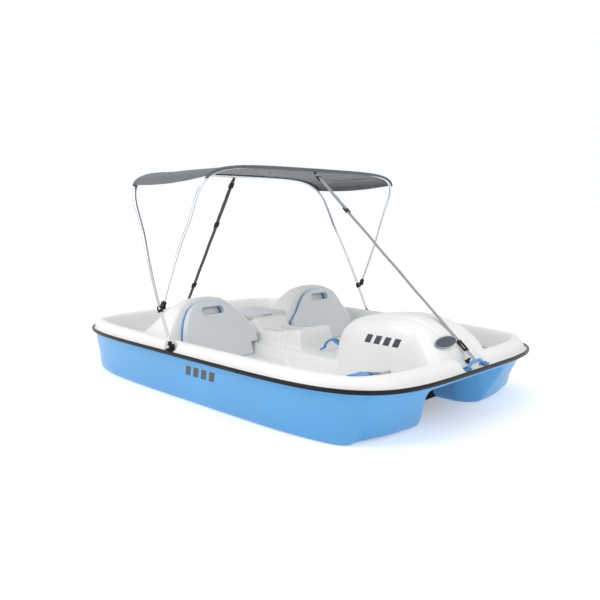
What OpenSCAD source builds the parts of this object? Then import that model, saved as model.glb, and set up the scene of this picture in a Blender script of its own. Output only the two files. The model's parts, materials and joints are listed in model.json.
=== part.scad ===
// Pedal boat for five with a folding sun canopy, in millimetres.
// +X points to the bow, +Y to port and +Z up. The origin is on the ground, under the middle.

/* [Hull] */
// Overall length over the rub rail
boat_l = 2300; // [1900:10:2760]
// Overall width over the rub rail
boat_w = 1640; // [1400:10:1970]
// Height of the joint between hull and deck
joint_z = 245; // [210:1:280]
// Wall of the hull and deck mouldings
skin_t = 5; // [4:0.5:6]
// Squareness of the bow corners
bow_n = 4.8; // [3.5:0.1:7]
// Squareness of the stern corners
stern_n = 5.5; // [3.5:0.1:7]
// Half width of the tunnel between the pontoons, at its roof
tunnel_half = 168; // [160:1:176]
// Height of the tunnel roof
tunnel_z = 185; // [175:1:190]

/* [Rub rail] */
// Height of the rub rail
rail_h = 24; // [20:1:30]
// How far the rub rail stands out from the flange
rail_out = 8; // [6:1:12]

/* [Deck] */
// Height of the coaming's top
coaming_z = 300; // [290:1:320]
// Height of the seat pans
seat_z = 145; // [135:1:155]
// Height of the footwell floors under the seats' front edge
floor_z = 110; // [100:1:115]
// Height of the humped floor over the tunnel
hump_z = 200; // [198:1:206]
// Height of the paddle cover's top
dome_z = 462; // [455:1:490]
// Height of the hoods behind the seats
hood_z = 471; // [465:1:490]
// Distance of each seat's middle from the centreline
seat_y = 430; // [420:1:440]

/* [Paddle drive] */
// Distance of the crankshaft ahead of the middle
crank_x = 790; // [700:5:800]
// Height of the crankshaft
crank_z = 210; // [205:1:215]
// Radius of the crankshaft's journals
shaft_r = 9; // [7:0.5:11]
// Radius of the crank pins
pin_r = 8; // [6:0.5:10]
// Throw of the cranks
throw_r = 80; // [66:1:84]
// Angle of the outer cranks at rest, above the bow direction
crank_deg = 10; // [-30:1:60]
// Radius of the paddle wheel
wheel_r = 185; // [155:1:190]
// Width of the paddle wheel
wheel_w = 250; // [200:2:256]
// Number of paddle blades
blade_n = 6; // [4:1:8]
// Width of each pedal
pedal_w = 100; // [80:1:108]
// Running clearance of every shaft and pin in its bore, on the radius
run_gap = 0.05; // [0.02:0.01:0.09]

/* [Steering] */
// Distance of the steering shaft ahead of the middle
steer_x = 320; // [312:1:324]
// Radius of the steering and rudder shafts
steer_r = 9; // [7:0.5:10]
// Length of the steering and rudder arms
arm_l = 70; // [50:1:90]
// Distance of the rudder shaft behind the middle
rudder_x = 1000; // [940:5:1010]

/* [Seat backs] */
// Height of the seat backs' top edge
back_z = 478; // [420:1:480]
// Thickness of the grey front shell of a seat back
back_t = 40; // [30:1:42]
// Thickness of the blue rear shell of a seat back
back_rear_t = 10; // [8:1:14]
// Width of the hand hole in a seat back
hand_w = 150; // [110:1:160]

/* [Cooler] */
// Length of the cooler
cooler_l = 236; // [200:1:250]
// Width of the cooler
cooler_w = 264; // [220:1:268]
// Thickness of the cooler's lid
lid_t = 14; // [10:1:16]

/* [Canopy] */
// Distance of the canopy's mounts inside the rub rail's outside
mount_in = 32; // [31:1:33]
// Radius of the canopy's tubes
tube_r = 9; // [7:0.5:13]
// Height of the mount pivots
pivot_z = 275; // [272:1:285]
// Distance of the mount pivots behind the middle
pivot_x = 126; // [100:1:140]
// Lean of the main bow towards the stern
main_lean = 26.5; // [20:0.5:30]
// Length of the main bow from its pivot to its top
main_h = 974; // [850:2:1200]
// Distance of the hinge clamps up the main bow's legs
clamp_s = 195; // [160:1:240]
// Lean of the front bow towards the bow of the boat
front_lean = 23; // [22:0.1:32]
// Length of the front bow from its clamps to its top
front_h = 762; // [650:2:950]
// Width of the canopy's webbing straps
strap_w = 25; // [20:1:30]
// Thickness of the canopy fabric
fabric_t = 3; // [2:0.5:4]

/* [Hidden] */

tiny = 0.3;                        // gap between pieces that only lie against each other
lap = 0.05;                        // bite of one solid into another solid of the same node
flange_a = boat_l / 2 - rail_out;  // half length of the flange
flange_b = boat_w / 2 - rail_out;  // half width of the flange
scale_l = boat_l / 2300;
scale_w = boat_w / 1640;
crank_at = crank_x * scale_l;      // places of the moving parts along the boat
steer_at = steer_x * scale_l;
rudder_at = -rudder_x * scale_l;
cooler_at = -385 * scale_l;
pivot_at = -pivot_x * scale_l;
bow_half = boat_w / 2 - mount_in;  // the canopy's feet, from the centreline
pad_z = joint_z + tiny + skin_t + 4; // flat pads under the canopy mounts and the bow handle

// ---- Shape functions ----

function rise(a, b, x) = let (t = min(1, max(0, (x - a) / (b - a)))) t * t * (3 - 2 * t);
function mix(a, b, t) = a + (b - a) * t;

// A square grid coordinate (u, v) from -1 to 1 stretched onto the rounded plan of the boat.
function ring(u, v) = max(abs(u), abs(v));
function corner_n(u) = u > 0 ? bow_n : stern_n;
function stretch(u, v) = let (m = ring(u, v), n = corner_n(u))
  m == 0 ? 1 : 1 + (m / pow(pow(abs(u), n) + pow(abs(v), n), 1 / n) - 1) * pow(m, 4);
function plan_x(u, v) = flange_a * u * stretch(u, v);
function plan_y(u, v) = flange_b * v * stretch(u, v);
// 1 along the bow and stern edges, 0 along the sides
function endness(u, v) = rise(-0.1, 0.1, abs(u) - abs(v));

// Hull: outer wall, keel ridges and tunnel, as the height of the outer face.
function hull_foot(u, v) = mix(0.93, u > 0 ? 0.875 : 0.935, endness(u, v));
function hull_wall(u, v) = let (f = hull_foot(u, v), m = ring(u, v), t = (m - f) / (0.982 - f))
  (joint_z - skin_t) * lookup(t, [[-0.6, 0], [-0.25, 0.012], [0, 0.06], [0.14, 0.18], [0.9, 0.96], [1, 1]]);
function keel_notch(y) = 7 * (1 - rise(0, 26, abs(abs(y) - 540))) + 7 * (1 - rise(0, 24, abs(abs(y) - 385)));
function tunnel_edge(x) = tunnel_half + 105 * rise(880, 1100, x) + 60 * rise(1000, 1090, x);
function tunnel(x, y) = (tunnel_z + 22 * rise(1022, 1120, x))
  * (1 - rise(tunnel_edge(x) - 8, tunnel_edge(x) + 46, abs(y)));
function hull_z(u, v) = let (x = plan_x(u, v) / scale_l, y = plan_y(u, v) / scale_w)
  max(hull_wall(u, v), keel_notch(y), tunnel(x, y));
function hull_point(u, v) = [plan_x(u, v), plan_y(u, v), hull_z(u, v)];

// Deck: coaming, wells, console, hoods and paddle cover, as the height of the upper face.
flange_top = joint_z + tiny + skin_t;
function coaming(m) = lookup(m, [[0.868, 0], [0.876, 0.03], [0.884, 0.2], [0.898, 0.84], [0.906, 0.95],
  [0.918, 1], [1, 1]]);
function deck_edge(m) = flange_top + (coaming_z - flange_top)
  * lookup(m, [[0.93, 1], [0.945, 0.97], [0.957, 0.85], [0.968, 0.6], [0.98, 0.2], [0.986, 0]]);
function well_floor(x) = x < -560 ? 150 : mix(seat_z, mix(floor_z, 65, rise(470, 560, x)), rise(95, 125, x));
function back_bell(d) = d > 0
  ? lookup(d, [[0, 1], [60, 0.985], [120, 0.93], [175, 0.79], [225, 0.54], [262, 0.3], [300, 0]])
  : lookup(-d, [[0, 1], [60, 0.985], [120, 0.93], [185, 0.7], [250, 0.41], [310, 0.14], [340, 0]]);
function hood_line(x) = lookup(x, [[-740, 0], [-700, 0.22], [-600, 0.45], [-500, 0.7], [-420, 0.9],
  [-375, 0.98], [-340, 1], [-190, 1]]);
hood_foot = -199;                  // foot of the hoods' front faces, at the seat pans
hood_rise = 3;                     // how steep those faces stand
back_lean = atan(scale_l / hood_rise);
function hood_front(x) = seat_z + (hood_foot - x) * hood_rise;
function hood(x, y) = let (crest = mix(260, hood_z, back_bell(abs(y) - seat_y)))
  min(mix(150, crest, hood_line(x)), hood_front(x));
function console_line(x) = lookup(x, [[-600, 150], [-560, 318], [-540, 322], [-234, 322], [-199, 265],
  [-88, 265], [0, 281], [100, 304], [122, 302], [133, 288], [141, 200]]);
function console(x, y) = console_line(x) - (console_line(x) - 60) * rise(126, 150, abs(y));
function bridge(x, y) = x < -320 && x > -570 ? mix(100, 322, 1 - rise(165, 205, abs(y))) : 0;
function dome_line(x) = dome_z * lookup(x, [[360, 0.43], [376, 0.5], [392, 0.64], [414, 0.75], [442, 0.83],
  [480, 0.888], [540, 0.935], [650, 0.974], [750, 0.998], [830, 1], [890, 0.975], [940, 0.925],
  [980, 0.86], [1016, 0.79], [1044, 0.7], [1056, 0.62]]);
function dome_side(d) = lookup(d, [[0, 1], [70, 0.998], [100, 0.99], [112, 0.975], [145, 0.945],
  [168, 0.87], [186, 0.74], [200, 0.56], [214, 0.33], [228, 0.12], [242, 0]]);
function dome_spread(x) = lookup(x, [[360, 0.5], [392, 0.66], [440, 0.84], [490, 0.95], [550, 1],
  [880, 1], [1010, 1.22], [1100, 1.3]]);
function dome(x, y) = x < 360 || x > 1058 ? 0 : mix(60, dome_line(x), dome_side(abs(y) / dome_spread(x)));
function hump(x, y) = let (top = hump_z + 24 * (1 - rise(-905, -800, x))) top - (top - 60) * rise(178, 222, abs(y));
// Flat pads and the recess at the bow are cut down into the coaming.
function recess_line(x) = lookup(x, [[1046, 320], [1056, 281], [1076, 268], [1090, pad_z]]);
function pad(x, y, m) = m > 0.94 && x > -180 && x < -84 ? pad_z
  : x > 1046 && abs(y) < 105 ? recess_line(x) : 1000;
function deck_z(u, v) = let (
    x = plan_x(u, v) / scale_l, y = plan_y(u, v) / scale_w, m = ring(u, v), low = well_floor(x),
    inner = max(low, hump(x, y), console(x, y), bridge(x, y), hood(x, y), dome(x, y)),
    outer = m > 0.93 ? deck_edge(m) : mix(low, coaming_z, coaming(m)))
  min(pad(x, y, m), max(outer, m < 0.9 ? inner : dome(x, y)));
function deck_point(u, v) = [plan_x(u, v), plan_y(u, v), deck_z(u, v)];

// ---- Grid shells ----

function normal_at(f, u, v) = let (e = 0.004,
    a = f(min(1, u + e), v) - f(max(-1, u - e), v),
    b = f(u, min(1, v + e)) - f(u, max(-1, v - e)), n = cross(a, b)) n / norm(n);

// A closed shell between a surface f(u, v) and the same surface moved by t along its normal.
module grid_shell(us, vs, f, t) {
  nu = len(us);
  nv = len(vs);
  face = [for (u = us) for (v = vs) f(u, v)];
  back = [for (u = us) for (v = vs) f(u, v) + t * normal_at(f, u, v)];
  n = nu * nv;
  cells = [for (i = [0 : nu - 2]) for (j = [0 : nv - 2])
    let (a = i * nv + j, b = a + nv) [a, b, b + 1, a + 1]];
  top = [for (c = cells) each [[c[0], c[2], c[1]], [c[0], c[3], c[2]]]];
  bottom = [for (c = cells) each [[c[0] + n, c[1] + n, c[2] + n], [c[0] + n, c[2] + n, c[3] + n]]];
  rim = concat([for (j = [0 : nv - 1]) j], [for (i = [1 : nu - 1]) i * nv + nv - 1],
    [for (j = [nv - 2 : -1 : 0]) (nu - 1) * nv + j], [for (i = [nu - 2 : -1 : 1]) i * nv]);
  k = len(rim);
  side = [for (i = [0 : k - 1]) let (a = rim[i], b = rim[(i + 1) % k])
    each [[a, a + n, b], [b, a + n, b + n]]];
  faces = concat(top, bottom, side);
  polyhedron(concat(face, back), t < 0 ? faces : [for (q = faces) [q[0], q[2], q[1]]], convexity = 12);
}
function mirrored(list) = concat([for (i = [len(list) - 1 : -1 : 0]) -list[i]], [0], list);

hull_vs = mirrored([0.1, 0.195, 0.215, 0.24, 0.27, 0.3, 0.335, 0.4, 0.47, 0.485, 0.5, 0.6, 0.65, 0.67, 0.69, 0.8, 0.87,
  0.915, 0.93, 0.937, 0.97, 0.982, 1]);
hull_us = [-1, -0.982, -0.975, -0.943, -0.937, -0.925, -0.89, -0.8, -0.6, -0.35, -0.1, 0.1, 0.35, 0.6,
  0.72, 0.8, 0.84, 0.865, 0.885, 0.9, 0.93, 0.96, 0.975, 0.982, 1];
deck_vs = mirrored([0.085, 0.122, 0.138, 0.165, 0.178, 0.206, 0.226, 0.25, 0.275, 0.3, 0.37, 0.45, 0.6, 0.7,
  0.78, 0.83, 0.86, 0.872, 0.884, 0.898, 0.914, 0.942, 0.957, 0.97, 0.986, 1]);
deck_us = [-1, -0.986, -0.97, -0.957, -0.942, -0.914, -0.898, -0.884, -0.872, -0.8, -0.65, -0.6, -0.52,
  -0.492, -0.44, -0.37, -0.325, -0.297, -0.264, -0.235, -0.205, -0.19, -0.1743, -0.16, -0.155, -0.078, -0.072,
  0, 0.085, 0.108, 0.123, 0.21, 0.315, 0.331, 0.347, 0.38, 0.42, 0.47, 0.56, 0.65, 0.72, 0.78, 0.83,
  0.872, 0.884, 0.898, 0.914, 0.928, 0.942, 0.957, 0.97, 0.986, 1];

// ---- Small helpers ----

module box(lo, hi) { translate(lo) cube(hi - lo); }
module rod(from, to, r, fn = 32) {
  d = to - from;
  translate(from) rotate([0, acos(d[2] / norm(d)), atan2(d[1], d[0])]) cylinder(h = norm(d), r = r, $fn = fn);
}
module y_rod(x, y0, y1, z, r, fn = 40) {
  translate([x, y0, z]) rotate([-90, 0, 0]) cylinder(h = y1 - y0, r = r, $fn = fn);
}
module z_rod(x, y, z0, z1, r, fn = 40) { translate([x, y, z0]) cylinder(h = z1 - z0, r = r, $fn = fn); }
module both_sides() { children(); mirror([0, 1, 0]) children(); }

// ---- Hull and deck ----

well_x = [crank_at - wheel_r - 27, crank_at + wheel_r + 27];
well_half = wheel_w / 2 + 18;
cooler_x = [cooler_at - cooler_l / 2, cooler_at + cooler_l / 2];

module hull_shell() {
  color([0.36, 0.62, 0.84]) difference() {
    grid_shell(hull_us, hull_vs, function(u, v) hull_point(u, v), skin_t);
    box([well_x[0], -well_half, tunnel_z - 30], [well_x[1], well_half, tunnel_z + 60]);
    for (x = [steer_at, rudder_at]) z_rod(x, 0, 100, 230, steer_r + 8);
  }
}
module deck_shell() {
  color([0.95, 0.96, 0.96]) difference() {
    grid_shell(deck_us, deck_vs, function(u, v) deck_point(u, v), -skin_t);
    both_sides() y_rod(crank_at, 180, 300, crank_z, shaft_r + 5);
    z_rod(steer_at, 0, 150, 260, steer_r + 6);
    box([cooler_x[0] - 2, -cooler_w / 2 - 2, 240], [cooler_x[1] + 2, cooler_w / 2 + 2, 360]);
    both_sides() z_rod(cup_x, cup_y, 236, 300, cup_r + 1.2);
  }
}
function rail_ring(out, z, steps) = [for (i = [0 : steps - 1]) let (
    a = i * 360 / steps, n = cos(a) > 0 ? bow_n : stern_n,
    u = sign(cos(a)) * pow(abs(cos(a)), 2 / n), v = sign(sin(a)) * pow(abs(sin(a)), 2 / n))
  [(flange_a + out) * u, (flange_b + out) * v, z]];
module ring_solid(section, steps) {
  k = len(section);
  points = [for (s = section) each rail_ring(s[0], s[1], steps)];
  faces = [for (i = [0 : k - 1]) for (j = [0 : steps - 1]) let (
      a = i * steps + j, b = i * steps + (j + 1) % steps,
      c = ((i + 1) % k) * steps + j, d = ((i + 1) % k) * steps + (j + 1) % steps)
    each [[a, c, b], [b, c, d]]];
  polyhedron(points, faces, convexity = 6);
}
rail_gap = 1;                  // clearance between the rail and the moulded edges
rail_section = [[rail_gap, joint_z - rail_h / 2], [rail_out * 0.7, joint_z - rail_h / 2 + 2],
  [rail_out, joint_z - 4], [rail_out, joint_z + 5], [rail_out * 0.7, joint_z + rail_h / 2 - 1],
  [-4, joint_z + rail_h / 2 + 1], [-4, flange_top + tiny], [rail_gap, flange_top + tiny]];
module rub_rail() { color([0.08, 0.08, 0.09]) ring_solid(rail_section, 96); }
cap_x = [400 * scale_l, 400 * scale_l + 12];
cap_y = boat_w / 2 * pow(1 - pow(cap_x[0] / (boat_l / 2), bow_n), 1 / bow_n) + tiny;
module rail_joint_caps() {
  color([0.1, 0.1, 0.11]) both_sides() box([cap_x[0], cap_y, joint_z - 4], [cap_x[1], cap_y + 2.5, joint_z + 5]);
}
module float_block() {
  box([-800 * scale_l, 250 * scale_w, 7 + skin_t + tiny], [420 * scale_l, 560 * scale_w, 98]);
}
module starboard_float() { color([0.93, 0.93, 0.9]) mirror([0, 1, 0]) float_block(); }
module port_float() { color([0.93, 0.93, 0.9]) float_block(); }
module drain_plugs() {
  color([0.1, 0.1, 0.1]) both_sides() place_plug() {
    cylinder(h = 7, r = 17, $fn = 40);
    translate([0, 0, 7 - lap]) cylinder(h = 8, r = 8, $fn = 6);
  }
}
module place_plug() { translate([-1094.3 * scale_l, 480 * scale_w, 175]) rotate([0, -102.3, 0]) children(); }

// ---- Paddle drive ----

housing_half = wheel_w / 2 + 8;   // inside half width of the wheel housing
roof_z = tunnel_z + skin_t + tiny; // where pieces rest on the tunnel's roof
module wheel_housing() {
  inner = wheel_r + 12;
  color([0.3, 0.5, 0.68]) difference() {
    union() {
      intersection() {
        y_rod(crank_at, -housing_half - 4, housing_half + 4, crank_z, inner + 4, 96);
        box([crank_at - 300, -housing_half - 4, roof_z + 2], [crank_at + 300, housing_half + 4, 600]);
      }
      box([well_x[0] - 16, -well_half - 12, roof_z], [well_x[1] + 16, well_half + 12, roof_z + 4]);
    }
    intersection() {
      y_rod(crank_at, -housing_half, housing_half, crank_z, inner, 96);
      box([crank_at - 300, -housing_half, 100], [crank_at + 300, housing_half, 600]);
    }
    y_rod(crank_at, -housing_half - 20, housing_half + 20, crank_z, shaft_r + 3);
  }
}
bearing_y = housing_half + 4 + tiny;
module crank_bearings() {
  color([0.12, 0.12, 0.13]) both_sides() {
    difference() {
      union() {
        y_rod(crank_at, bearing_y, bearing_y + 26, crank_z, shaft_r + 6);
        box([crank_at - 38, bearing_y, roof_z + 4 + tiny], [crank_at + 38, bearing_y + 6, crank_z + 32]);
      }
      y_rod(crank_at, bearing_y - 1, bearing_y + 27, crank_z, shaft_r + run_gap);
      for (x = [-27, 27]) y_rod(crank_at + x, bearing_y - 1, bearing_y + 7, crank_z + 20, 3);
    }
    difference() {
      box([crank_at - 30, outer_bearing_y, 65 + tiny], [crank_at + 30, outer_bearing_y + 24, crank_z + 22]);
      y_rod(crank_at, outer_bearing_y - 1, outer_bearing_y + 25, crank_z, shaft_r + run_gap);
    }
  }
}
module bearing_screws() {
  color([0.7, 0.7, 0.72]) both_sides() for (x = [-27, 27]) {
    y_rod(crank_at + x, bearing_y + 0.1, bearing_y + 6 + 2 * lap, crank_z + 20, 2.9, 16);
    y_rod(crank_at + x, bearing_y + 6 + lap, bearing_y + 9, crank_z + 20, 5.5, 24);
  }
}
web_t = 8;
inner_pin_y = 284;                                // start of the inner pedal's pin
outer_pin_y = inner_pin_y + pedal_w + 16 + web_t; // start of the outer pedal's pin
outer_web_y = outer_pin_y + pedal_w + 16;
outer_bearing_y = outer_web_y + web_t + 22;
throw_x = throw_r * cos(crank_deg);
throw_z = throw_r * sin(crank_deg);

module web(y, from, to) {
  length = to - from;
  translate([crank_at, y, crank_z]) rotate([0, -crank_deg, 0]) {
    translate([from, 0, -11]) cube([length, web_t, 22]);
    for (x = [from, to]) translate([x, 0, 0]) rotate([-90, 0, 0]) cylinder(h = web_t, r = 11, $fn = 32);
  }
}
module crankshaft() {
  color([0.72, 0.73, 0.75]) union() {
    y_rod(crank_at, -inner_pin_y + web_t - 1, inner_pin_y - web_t + 1, crank_z, shaft_r);
    both_sides() {
      web(inner_pin_y - web_t, -throw_r, 0);
      y_rod(crank_at - throw_x, inner_pin_y - 1, outer_pin_y - web_t + 1, crank_z - throw_z, pin_r);
      web(outer_pin_y - web_t, -throw_r, throw_r);
      y_rod(crank_at + throw_x, outer_pin_y - 1, outer_web_y + 1, crank_z + throw_z, pin_r);
      web(outer_web_y, 0, throw_r);
      y_rod(crank_at, outer_web_y + web_t - 1, outer_bearing_y + 22, crank_z, shaft_r);
    }
  }
}
hub_r = 32;
module paddle_wheel() {
  half = wheel_w / 2;
  color([0.05, 0.05, 0.055]) difference() {
    union() {
      y_rod(crank_at, -half + 6, half - 6, crank_z, hub_r);
      for (k = [0 : blade_n - 1]) translate([crank_at, 0, crank_z]) rotate([0, 20 + k * 360 / blade_n, 0]) {
        box([hub_r - 2, -half, -3], [wheel_r - 22, half, 3]);
        translate([wheel_r - 24, 0, 0]) rotate([0, -28, 0]) box([0, -half, -3], [24, half, 3]);
        for (y = [-half, -2.5, half - 5]) box([hub_r - 2, y, -16], [wheel_r - 40, y + 5, 3]);
      }
    }
    y_rod(crank_at, -half - 1, half + 1, crank_z, shaft_r + tiny);
    for (y = [-80, 80]) place_bolt(y) cylinder(h = hub_r + 1, r = 3.1, $fn = 24);
  }
}
module place_bolt(y) { translate([crank_at, y, crank_z]) rotate([0, 20, 0]) children(); }
module wheel_bolts() {
  color([0.75, 0.75, 0.77]) for (y = [-80, 80]) place_bolt(y) {
    translate([0, 0, shaft_r + 0.1]) cylinder(h = hub_r - shaft_r + 0.4, r = 3, $fn = 24);
    translate([0, 0, hub_r + 0.3]) cylinder(h = 5, r = 5.5, $fn = 6);
  }
}
module pedal(y0, side) {
  x = crank_at + side * throw_x;
  z = crank_z + side * throw_z;
  gap = 8;
  difference() {
    union() {
      y_rod(x, y0 + gap, y0 + gap + pedal_w, z, 15);
      for (dx = [-22, 22]) y_rod(x + dx, y0 + gap, y0 + gap + pedal_w, z, 12);
      box([x - 22, y0 + gap, z - 12], [x + 22, y0 + gap + pedal_w, z + 12]);
    }
    y_rod(x, y0, y0 + pedal_w + 20, z, pin_r + run_gap);
  }
}
blue = [0.2, 0.52, 0.82];
module pedal_port_outer() { color(blue) pedal(outer_pin_y, 1); }
module pedal_port_inner() { color(blue) pedal(inner_pin_y, -1); }
module pedal_starboard_outer() { color(blue) mirror([0, 1, 0]) pedal(outer_pin_y, 1); }
module pedal_starboard_inner() { color(blue) mirror([0, 1, 0]) pedal(inner_pin_y, -1); }

// ---- Steering ----

arm_z = 150;                   // height of the arms under the tunnel roof
shaft_low = arm_z - 14;        // foot of the steering shaft
module steering_bush() {
  color([0.96, 0.96, 0.96]) difference() {
    union() {
      z_rod(steer_at, 0, hump_z + tiny, hump_z + 10, 34);
      z_rod(steer_at, 0, tunnel_z + 8, hump_z + 10, steer_r + 5);
    }
    z_rod(steer_at, 0, 100, 300, steer_r + run_gap);
  }
}
handle_z = 268;                // middle of the handle's top bar
handle_x = steer_at - 70;
loop_r = 42;                   // radius of the handle's loop
module steering_handle() {
  color(blue) union() {
    z_rod(steer_at, 0, shaft_low, hump_z + 34, steer_r);
    z_rod(steer_at, 0, hump_z + 10 + tiny, hump_z + 34, 18);
    rod([steer_at, 0, hump_z + 24], [handle_x, 0, handle_z], 7);
    translate([handle_x, 0, handle_z - loop_r]) rotate([0, 0, 90]) rotate([90, 0, 0])
      rotate_extrude(angle = 180, $fn = 64) translate([loop_r, 0]) circle(r = 6.5, $fn = 24);
    both_sides() {
      translate([handle_x, loop_r, handle_z - loop_r]) sphere(r = 7.4, $fn = 32);
      rod([handle_x, loop_r, handle_z - loop_r], [handle_x, 66, handle_z - 50], 6);
    }
  }
}
module arm(x, bore) {
  difference() {
    union() {
      z_rod(x, 0, arm_z - 8, arm_z + 8, 18);
      box([x - 9, 0, arm_z - 4], [x + 9, arm_l, arm_z + 4]);
      z_rod(x, arm_l, arm_z - 4, arm_z + 4, 11);
    }
    if (bore) z_rod(x, 0, arm_z - 9, arm_z + 9, steer_r + 0.02);
  }
}
module steering_arm() { color([0.2, 0.2, 0.22]) arm(steer_at, true); }
rod_y = arm_l - 5;
module steering_rod() {
  color([0.7, 0.71, 0.73]) union() {
    rod([rudder_at, rod_y, arm_z - 14], [steer_at, rod_y, arm_z - 14], 5);
    for (x = [rudder_at, steer_at]) z_rod(x, rod_y, arm_z - 20, arm_z - 4 - tiny, 9);
  }
}
module rudder_bush() {
  color([0.12, 0.12, 0.13]) difference() {
    union() {
      z_rod(rudder_at, 0, roof_z, roof_z + 8, 26);
      z_rod(rudder_at, 0, tunnel_z - 14, roof_z + 8, steer_r + 7);
    }
    z_rod(rudder_at, 0, tunnel_z - 20, tunnel_z + 60, steer_r + run_gap);
  }
}
module rudder_shaft() {
  color([0.7, 0.71, 0.73]) union() {
    z_rod(rudder_at, 0, 30, roof_z + 16, steer_r);
    arm(rudder_at, false);
  }
}
module rudder_nut() {
  color([0.7, 0.7, 0.72]) difference() {
    z_rod(rudder_at, 0, roof_z + 8 + tiny, roof_z + 14, 15, 6);
    z_rod(rudder_at, 0, roof_z, roof_z + 20, steer_r + 0.02);
  }
}
module rudder_blade() {
  color([0.1, 0.1, 0.11]) difference() {
    union() {
      z_rod(rudder_at, 0, 24, arm_z - 26, steer_r + 6);
      box([rudder_at - 88, -4, 20], [rudder_at + 88, 4, arm_z - 30]);
    }
    z_rod(rudder_at, 0, 30, arm_z, steer_r + 0.02);
  }
}

// ---- Seat backs ----

back_low = seat_z + tiny;
back_foot = hood_foot * scale_l + (back_t + back_rear_t + 2 * tiny) / cos(back_lean); // front face, at the seat pan
end_in = 156;                  // ends of a seat back, from the centreline
end_out = 655;
hand_y = seat_y * scale_w;  // middle of the hand hole
function plate_bell(d) = d > 0
  ? lookup(d, [[0, 1], [43, 0.996], [80, 0.975], [106, 0.94], [135, 0.87], [156, 0.77], [175, 0.64],
    [192, 0.487], [205, 0.32], [215, 0.126], [225, 0]])
  : lookup(-d, [[0, 1], [26, 0.99], [60, 0.96], [98, 0.9], [125, 0.81], [151, 0.7], [207, 0.413],
    [268, 0.19], [300, 0.08]]);
function back_outline() = concat(
  [for (y = [end_in : 10 : end_out]) [y * scale_w, mix(250, back_z, plate_bell(y - seat_y))]],
  [[end_out * scale_w, 0], [end_in * scale_w, 0]]);
module back_plate(from, to) {
  difference() {
    translate([back_foot, 0, seat_z]) rotate([0, -back_lean, 0]) translate([from, 0, -seat_z])
      rotate([90, 0, 90]) linear_extrude(to - from) difference() {
        polygon(back_outline());
        for (y = [-hand_w / 2 + 20, hand_w / 2 - 20]) translate([hand_y + y, back_z - 56])
          circle(r = 20, $fn = 32);
        translate([hand_y - hand_w / 2 + 20, back_z - 76]) square([hand_w - 40, 40]);
      }
    box([-600 * scale_l, 0, -300], [200, 900 * scale_w, back_low]);
    box([-600 * scale_l, 0, 0], [200, 208 * scale_w, hump_z + 12]);
  }
}
grey = [0.8, 0.83, 0.85];
module port_back_front() { color(grey) back_plate(-back_t, 0); }
rear_from = -back_t - tiny - back_rear_t;
module port_back_rear() { color(blue) back_plate(rear_from, -back_t - tiny); }
module starboard_back_front() { color(grey) mirror([0, 1, 0]) back_plate(-back_t, 0); }
module starboard_back_rear() { color(blue) mirror([0, 1, 0]) back_plate(rear_from, -back_t - tiny); }

// ---- Cooler, cup holders and deck fittings ----

rim_z = 322 + tiny;            // where the cooler's rim rests on the deck
lid_z = rim_z + 5 + tiny;
lid_axis = [cooler_x[0] - 19, rim_z + 12];
rim = 8;                       // width of the cooler's rim
module cooler_tub() {
  color([0.93, 0.94, 0.95]) difference() {
    union() {
      box([cooler_x[0], -cooler_w / 2, roof_z + 9], [cooler_x[1], cooler_w / 2, rim_z + 3]);
      box([cooler_x[0] - 26, -cooler_w / 2 - rim, rim_z], [cooler_x[1] + rim, cooler_w / 2 + rim, rim_z + 5]);
      for (y = [-100, 70]) {
        y_rod(lid_axis[0], y, y + 30, lid_axis[1], 7);
        box([lid_axis[0] - 7, y, rim_z + 4], [lid_axis[0] + 7, y + 30, lid_axis[1]]);
      }
    }
    box([cooler_x[0] + 5, -cooler_w / 2 + 5, roof_z + 14], [cooler_x[1] - 5, cooler_w / 2 - 5, 340]);
    y_rod(lid_axis[0], -110, 110, lid_axis[1], 3 + run_gap);
  }
}
module cooler_lid() {
  color([0.74, 0.76, 0.78]) difference() {
    union() {
      box([cooler_x[0] - 8, -cooler_w / 2 - rim, lid_z], [cooler_x[1] + rim, cooler_w / 2 + rim, lid_z + lid_t]);
      for (y = [-69, 39]) {
        y_rod(lid_axis[0], y, y + 30, lid_axis[1], 6);
        box([lid_axis[0], y, lid_axis[1] - 3], [cooler_x[0] - 7, y + 30, lid_axis[1] + 5]);
      }
    }
    y_rod(lid_axis[0], -120, 120, lid_axis[1], 3 + run_gap);
    box([cooler_x[1] - 6, -40, lid_z - 1], [cooler_x[1] + rim + 1, 40, lid_z + 5]);
  }
}
module cooler_hinge_pin() { color([0.7, 0.7, 0.72]) y_rod(lid_axis[0], -104, 104, lid_axis[1], 3, 24); }

cup_x = -144 * scale_l;
cup_y = 57 * scale_w;
cup_r = 40;
cup_top = 265;                 // flat top of the console under the cup holders
module cup_holders() {
  color([0.93, 0.94, 0.95]) both_sides() difference() {
    union() {
      z_rod(cup_x, cup_y, roof_z + 12, cup_top + 2, cup_r);
      z_rod(cup_x, cup_y, cup_top + tiny, cup_top + 4, cup_r + 6);
    }
    z_rod(cup_x, cup_y, roof_z + 16, cup_top + 10, cup_r - 4);
  }
}
handle_half = 84;
bow_z = pad_z;
bow_x = boat_l / 2 - 34;
module bow_handle() {
  color(blue) union() {
    both_sides() difference() {
      box([bow_x - 16, handle_half - 26, bow_z + tiny], [bow_x + 16, handle_half + 14, bow_z + 9]);
      z_rod(bow_x, handle_half + 4, bow_z, bow_z + 10, 3);
    }
    both_sides() rod([bow_x, handle_half - 14, bow_z + 9], [bow_x, 34, bow_z + 28], 7.5);
    y_rod(bow_x, -34, 34, bow_z + 28, 7.5);
    both_sides() translate([bow_x, 34, bow_z + 28]) sphere(r = 8.2, $fn = 32);
  }
}
module bow_handle_screws() {
  color([0.1, 0.1, 0.1]) both_sides() {
    z_rod(bow_x, handle_half + 4, bow_z + 1, bow_z + 9 + 2 * lap, 2.9, 20);
    z_rod(bow_x, handle_half + 4, bow_z + 9 + lap, bow_z + 12, 6, 24);
  }
}
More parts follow.
